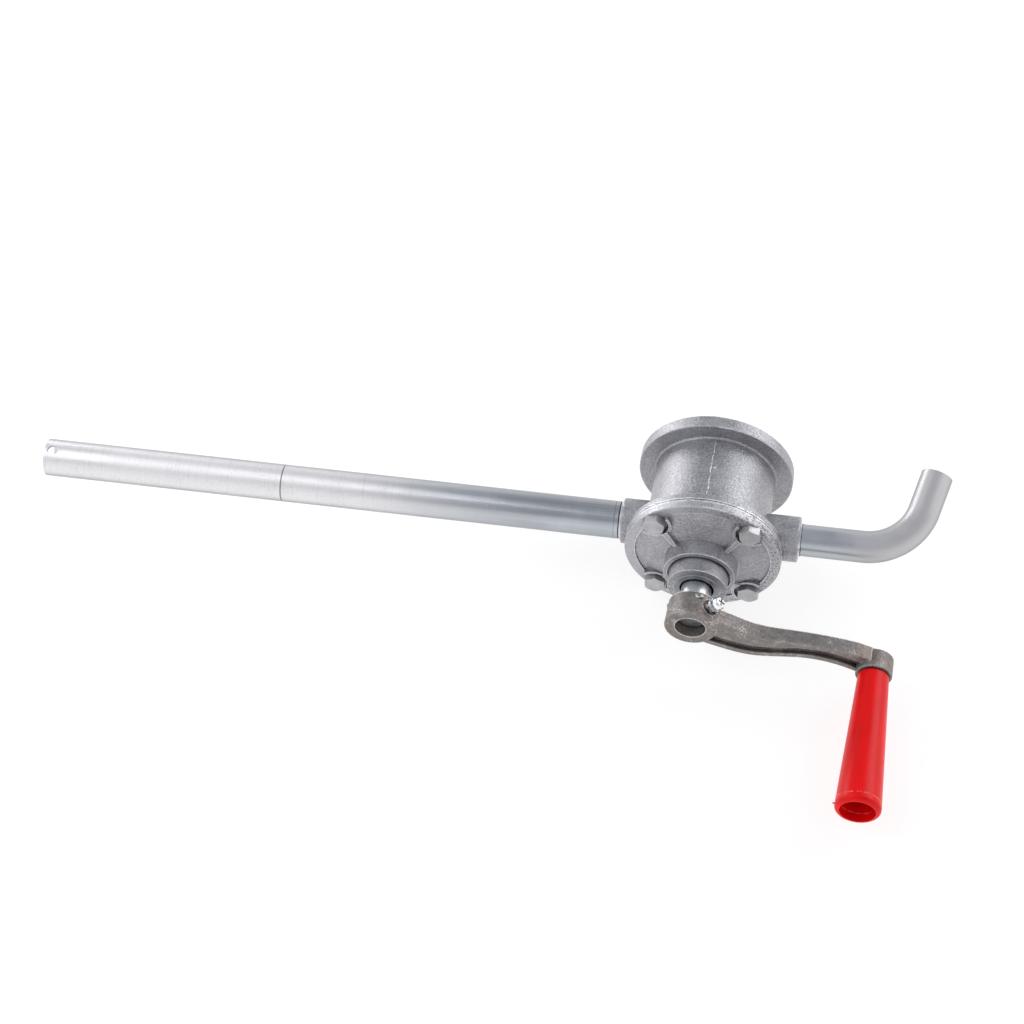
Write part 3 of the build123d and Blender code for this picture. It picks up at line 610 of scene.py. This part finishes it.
class PUMP_OT_castings(bpy.types.Operator):
    """Body, cover and gasket, with the seam that the casting halves leave"""

    bl_idname = "pump.castings"
    bl_label = "Finish the castings"

    def execute(self, context):
        finish = context.scene.pump_finish
        detail = context.scene.pump_detail
        cast = die_cast("die-cast body", tuple(finish.casting), 0.36)
        cover = die_cast("die-cast cover", tuple(finish.casting), 0.38, COVER_SHADE_REACH, COVER_LAND_R)
        dress(cast, "pump_body")
        dress(cover, "front_cover")
        dress(dull("gasket sheet", tuple(finish.packing), 0.6, 900.0), "cover_gasket")
        for name, side in (("barrel_seam_upper", 1), ("barrel_seam_lower", -1)):
            casting_seam(name, side, detail, cast)
        sealant = dull("squeezed sealant", tuple(finish.packing), 0.5, 1500.0)
        # The flash is painted 1.7 times lighter than the casting, a painted highlight for the speckled
        # shine along the rims; the lumps share it.
        flash_highlight = die_cast("casting flash, painted highlight", scaled(tuple(finish.casting), 1.7), 0.3)
        looks = {"gasket_fibre": sealant, "cast_aluminium": flash_highlight}
        for name, rear, front, height, seed, slot in RIM_BEADS:
            ragged_ring(name, RIM_R, JOINT_Y + rear, JOINT_Y + front, height, seed, looks[slot])
        for i, (place, size) in enumerate(CAST_LUMPS):
            lump(f"casting_lump_{i + 1}", place, size, i * 3.1, flash_highlight, "housing")
        return {"FINISHED"}


# How far the cover's painted shade reaches, wide enough to darken round the boss.
COVER_SHADE_REACH = 14 * MM
COVER_LAND_R = 44.8 * MM
BARREL_R = 0.040
SEAM_REAR = -0.0108
SEAM_FRONT = -0.0650
SEAM_STEPS = 110
CAST_LUMPS = (
    ((0.0025, -0.034, 0.0399), (0.0008, 0.0007, 0.0002)),
    ((0.0535, -0.048, 0.0130), (0.0005, 0.0006, 0.0003)),
    ((0.0560, -0.0655, 0.0099), (0.0005, 0.0004, 0.0003)),
    ((-0.0548, -0.0540, 0.0151), (0.0007, 0.0009, 0.0003)),
)
RIM_R = 0.0515
RIM_STEPS = 360
BEAD_ROOT = 0.4 * MM
JOINT_Y = -0.0703
RIM_BEADS = (
    ("sealant_bead", 0.35 * MM, -0.4 * MM, 0.15 * MM, 1.0, "gasket_fibre"),
    ("body_rim_flash", 1.3 * MM, 0.7 * MM, 0.22 * MM, 5.0, "cast_aluminium"),
    ("cover_rim_flash", -1.0 * MM, -1.7 * MM, 0.22 * MM, 9.0, "cast_aluminium"),
)


def uneven(x, y, seed, rate):
    """A smooth value between -1 and 1 that changes with place."""
    return wander.noise(Vector((x * rate, y * rate, seed)))


def casting_seam(name, side, detail, material):
    """A ragged ridge along the barrel, where the mould halves met."""
    ridge = bmesh.new()
    bmesh.ops.create_grid(ridge, x_segments=6, y_segments=SEAM_STEPS, size=0.5)
    for vert in ridge.verts:
        across = vert.co.x * 2
        y = SEAM_REAR + (SEAM_FRONT - SEAM_REAR) * (vert.co.y + 0.5)
        wander_x = uneven(y, 0, side, 130) * 0.9 * MM + uneven(y, 8, side, 900) * 0.3 * MM
        x = across * detail.seam_width / 2 + wander_x
        lift = max(0.0, 0.4 + 1.3 * uneven(y, 1, side, 420) + 0.6 * uneven(y, 2, side, 2600))
        crown = (1 - across * across) * lift * detail.seam_height
        radius = BARREL_R - 0.05 * MM + crown
        vert.co = (x, y, side * math.sqrt(radius * radius - x * x))
    bmesh.ops.solidify(ridge, geom=ridge.faces, thickness=0.3 * MM)
    return piece(name, ridge, material, "housing")


def ragged_ring(name, ring_r, rear, front, height, seed, material, place=None):
    """A thin uneven bead of radius ring_r between two positions along Y, moved by place if given."""
    bead = bmesh.new()
    base = ring_r - BEAD_ROOT
    crest = (ring_r + height, (rear + front) / 2)
    profile = [(base, rear), (ring_r, rear), crest, (ring_r, front), (base, front)]
    corners = [bead.verts.new((radius, y, 0)) for radius, y in profile]
    loop = [bead.edges.new((corners[i], corners[i - 1])) for i in range(len(corners))]
    bmesh.ops.spin(
        bead,
        geom=corners + loop,
        cent=(0, 0, 0),
        axis=(0, 1, 0),
        angle=2 * math.pi,
        steps=RIM_STEPS,
        use_merge=True,
    )
    for vert in bead.verts:
        out = Vector((vert.co.x, 0, vert.co.z))
        if out.length < ring_r - 0.1 * MM:
            continue
        swell = uneven(vert.co.x, vert.co.z, seed, 260) + 0.8 * uneven(vert.co.x, vert.co.z, seed + 3, 900)
        vert.co += out.normalized() * (swell - 0.35) * height
        vert.co.y += uneven(vert.co.x, vert.co.z, seed + 7, 500) * (rear - front) * 0.35
    if place is not None:
        bmesh.ops.transform(bead, matrix=place, verts=bead.verts)
    return piece(name, bead, material, "housing")


def lump(name, place, size, seed, material, body):
    """A small uneven blob of cast metal or plastic left by the mould."""
    blob = bmesh.new()
    bmesh.ops.create_icosphere(blob, subdivisions=3, radius=1)
    for vert in blob.verts:
        vert.co *= 1 + 0.45 * wander.noise(vert.co * 1.7 + Vector((seed, 0, 0)))
        vert.co = Vector(place) + Vector([vert.co[i] * size[i] for i in range(3)])
    return piece(name, blob, material, body)


# ---------------------------------------------------------------- fasteners


SCREW_TURN = math.radians(45)
SCREW_THREAD_R = 0.0025
SCREW_THREAD_START = 0.0210
SCREW_THREAD_LEN = 0.0022
TURN_STEPS = 36


def helix(radius, depth, pitch, run):
    """A helical thread ridge along +X from the origin."""
    ridge = bmesh.new()
    half = pitch * 0.42
    root = radius - depth / 2
    profile = ((0, root, 0), (half, radius + depth, 0), (2 * half, root, 0))
    corners = [ridge.verts.new(place) for place in profile]
    loop = [ridge.edges.new((corners[i], corners[i - 1])) for i in range(3)]
    turns = run / pitch
    steps = round(turns * TURN_STEPS)
    bmesh.ops.spin(
        ridge,
        geom=corners + loop,
        cent=(0, 0, 0),
        axis=(1, 0, 0),
        dvec=(run / steps, 0, 0),
        angle=2 * math.pi * turns,
        steps=steps,
    )
    bmesh.ops.holes_fill(ridge, edges=ridge.edges, sides=3)
    return ridge


class PUMP_OT_fasteners(bpy.types.Operator):
    """Cover bolts and the crank's clamp screw, nut and washer"""

    bl_idname = "pump.fasteners"
    bl_label = "Finish the fasteners"

    def execute(self, context):
        finish = context.scene.pump_finish
        detail = context.scene.pump_detail
        dress(machined("plated bolt", tuple(finish.zinc), 0.34, 0.5, 0.6), "cover_bolts")
        bright = machined("bright plated", tuple(finish.bright), 0.16, 1.0, 0.2)
        dress(bright, "crank_screw", "crank_lock_nut", "grip_washer")
        dress(machined("spring washer steel", tuple(finish.shaft), 0.3), "crank_lock_washer")
        thread = helix(SCREW_THREAD_R, detail.screw_thread_depth, detail.screw_pitch, SCREW_THREAD_LEN)
        start = Matrix.Translation((SCREW_THREAD_START, centre("crank_screw").y, 0))
        place = Matrix.Rotation(-SCREW_TURN, 4, "Y") @ start
        bmesh.ops.transform(thread, matrix=place, verts=thread.verts)
        piece("clamp_screw_thread", thread, bright, "crank")
        return {"FINISHED"}


# ---------------------------------------------------------------- tubes


THREAD_BEADS = (
    ("suction_thread_bead", 12.0 * MM, -56.9 * MM, -57.6 * MM),
    ("spout_thread_bead", 10.5 * MM, 62.9 * MM, 62.3 * MM),
)


class PUMP_OT_tubes(bpy.types.Operator):
    """Suction tube, discharge spout and their nipples"""

    bl_idname = "pump.tubes"
    bl_label = "Finish the tubes"

    def execute(self, context):
        finish = context.scene.pump_finish
        base = tuple(finish.tube)
        chalk = tuple(finish.chalk)
        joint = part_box("suction_tube_lower")[1].x
        drawn = drawn_tube("drawn tube", base, 0.27, 0.8, chalk, -0.10, -0.26, joint)
        dress(drawn, "suction_tube_upper", "suction_tube_lower")
        bent = drawn_tube("bent tube", base, 0.3, 0.0, scaled(chalk, 0.66), 0.092, 0.150)
        dress(bent, "discharge_spout")
        turned = machined("turned nipple", scaled(tuple(finish.zinc), 1.6), 0.26)
        dress(turned, "suction_nipple", "spout_nipple", "tube_coupler")
        middle = centre("suction_tube_upper")
        y_to_x = Matrix.Rotation(math.radians(-90), 4, "Z")
        along_tube = Matrix.Translation((0, middle.y, middle.z)) @ y_to_x
        sealant = dull("thread sealant", tuple(finish.packing), 0.5, 1500.0)
        for name, ring_r, near, far in THREAD_BEADS:
            ragged_ring(name, ring_r, near, far, 0.2 * MM, ring_r / MM, sealant, along_tube)
        return {"FINISHED"}


# ---------------------------------------------------------------- crank and grip


CRANK_DROP = math.radians(12.3)
FLASH_X = 0.1163
FLASH_Z = 0.0104
FLASH_REAR = -0.1240
FLASH_FRONT = -0.1337
HUB_LUMPS = (
    ((0.0040, -0.1205, 0.0162), (0.0028, 0.0016, 0.0006)),
    ((-0.0166, -0.1195, 0.0), (0.0006, 0.0014, 0.0012)),
)


def junction_flash(material):
    """A bright ragged ridge where the top of the arm runs into the eye."""
    ridge = bmesh.new()
    bmesh.ops.create_grid(ridge, x_segments=6, y_segments=40, size=0.5)
    for vert in ridge.verts:
        across = vert.co.x * 2
        y = FLASH_REAR + (FLASH_FRONT - FLASH_REAR) * (vert.co.y + 0.5)
        lift = max(0.1, 0.6 + uneven(y, 4, 2, 700) + 0.6 * uneven(y, 5, 2, 2100))
        x = FLASH_X + across * 0.5 * MM + uneven(y, 6, 3, 420) * 0.4 * MM
        vert.co = (x, y, FLASH_Z + (1 - across * across) * lift * 0.7 * MM)
    bmesh.ops.solidify(ridge, geom=ridge.faces, thickness=0.6 * MM)
    bmesh.ops.rotate(ridge, verts=ridge.verts, cent=(0, 0, 0), matrix=Matrix.Rotation(CRANK_DROP, 3, "Y"))
    return piece("eye_junction_flash", ridge, material, "crank")


class PUMP_OT_crank(bpy.types.Operator):
    """Cast crank arm and shaft"""

    bl_idname = "pump.crank"
    bl_label = "Finish the crank"

    def execute(self, context):
        finish = context.scene.pump_finish
        iron = sand_cast("sand-cast iron", tuple(finish.iron))
        dress(iron, "crank_arm")
        rubbed = sand_cast("rubbed iron", (0.45, 0.42, 0.38, 1))
        for i, (place, size) in enumerate(HUB_LUMPS):
            lump(f"hub_lump_{i + 1}", place, size, 20 + i * 2.3, iron, "crank")
        junction_flash(rubbed)
        dress(machined("ground shaft", tuple(finish.shaft), 0.28), "drive_shaft", "grip_pin", "rotor_key")
        return {"FINISHED"}


SCUFF_FROM_RIM = 6.0 * MM
CURL_FROM_RIM = 3.4 * MM
CURL_RISE = 1.5 * MM
CURL_SIZE = (1.5 * MM, 0.45 * MM, 0.6 * MM)


class PUMP_OT_grip(bpy.types.Operator):
    """Moulded grip that turns on its pin"""

    bl_idname = "pump.grip"
    bl_label = "Finish the grip"

    def execute(self, context):
        finish = context.scene.pump_finish
        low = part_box("grip")[0]
        plastic = moulded("moulded red", tuple(finish.grip), low.y + SCUFF_FROM_RIM)
        dress(plastic, "grip")
        middle = centre("grip")
        rim = (low.x + CURL_SIZE[0] * 0.2, low.y + CURL_FROM_RIM, middle.z + CURL_RISE)
        lump("grip_mould_curl", rim, CURL_SIZE, 41.0, plastic, "grip")
        return {"FINISHED"}


class PUMP_OT_works(bpy.types.Operator):
    """Rotor, vanes, springs, bushes, packing and gland"""

    bl_idname = "pump.works"
    bl_label = "Finish the works"

    def execute(self, context):
        finish = context.scene.pump_finish
        dress(machined("turned rotor iron", scaled(tuple(finish.iron), 1.3), 0.38), "rotor")
        dress(machined("bronze", tuple(finish.bronze), 0.3), "rear_bush", "front_bush")
        dress(dull("graphite packing", tuple(finish.packing), 0.55, 1200.0), "packing_rings")
        dress(machined("gland steel", scaled(tuple(finish.zinc), 0.6), 0.34), "gland_ring")
        dress(machined("spring steel", tuple(finish.shaft), 0.25), "vane_springs")
        vanes = [name for name in NODES if name.startswith("vane_") and name != "vane_springs"]
        dress(dull("moulded carbon", tuple(finish.carbon), 0.42, 1600.0), *vanes)
        return {"FINISHED"}


# ---------------------------------------------------------------- panel and run

OPERATORS = (
    PUMP_OT_stage,
    PUMP_OT_castings,
    PUMP_OT_fasteners,
    PUMP_OT_tubes,
    PUMP_OT_crank,
    PUMP_OT_grip,
    PUMP_OT_works,
)


class PUMP_PT_sidebar(bpy.types.Panel):
    bl_idname = "PUMP_PT_sidebar"
    bl_label = "Barrel pump"
    bl_space_type = "VIEW_3D"
    bl_region_type = "UI"
    bl_category = "Pump"

    def draw(self, context):
        for operator in OPERATORS:
            self.layout.operator(operator.bl_idname)
        for group in (context.scene.pump_stage, context.scene.pump_finish, context.scene.pump_detail):
            box = self.layout.box()
            for name in group.__annotations__:
                box.prop(group, name)


SETTINGS = (
    ("pump_stage", PumpStageSettings),
    ("pump_finish", PumpFinishSettings),
    ("pump_detail", PumpDetailSettings),
)


def register():
    for name, group in SETTINGS:
        bpy.utils.register_class(group)
        setattr(bpy.types.Scene, name, bpy.props.PointerProperty(type=group))
    for item in (*OPERATORS, PUMP_PT_sidebar):
        bpy.utils.register_class(item)


def unregister():
    for item in reversed((*OPERATORS, PUMP_PT_sidebar)):
        bpy.utils.unregister_class(item)
    for name, group in reversed(SETTINGS):
        delattr(bpy.types.Scene, name)
        bpy.utils.unregister_class(group)


def main():
    register()
    for operator in OPERATORS:
        family, action = operator.bl_idname.split(".")
        getattr(getattr(bpy.ops, family), action)()


if __name__ == "__main__":
    main()
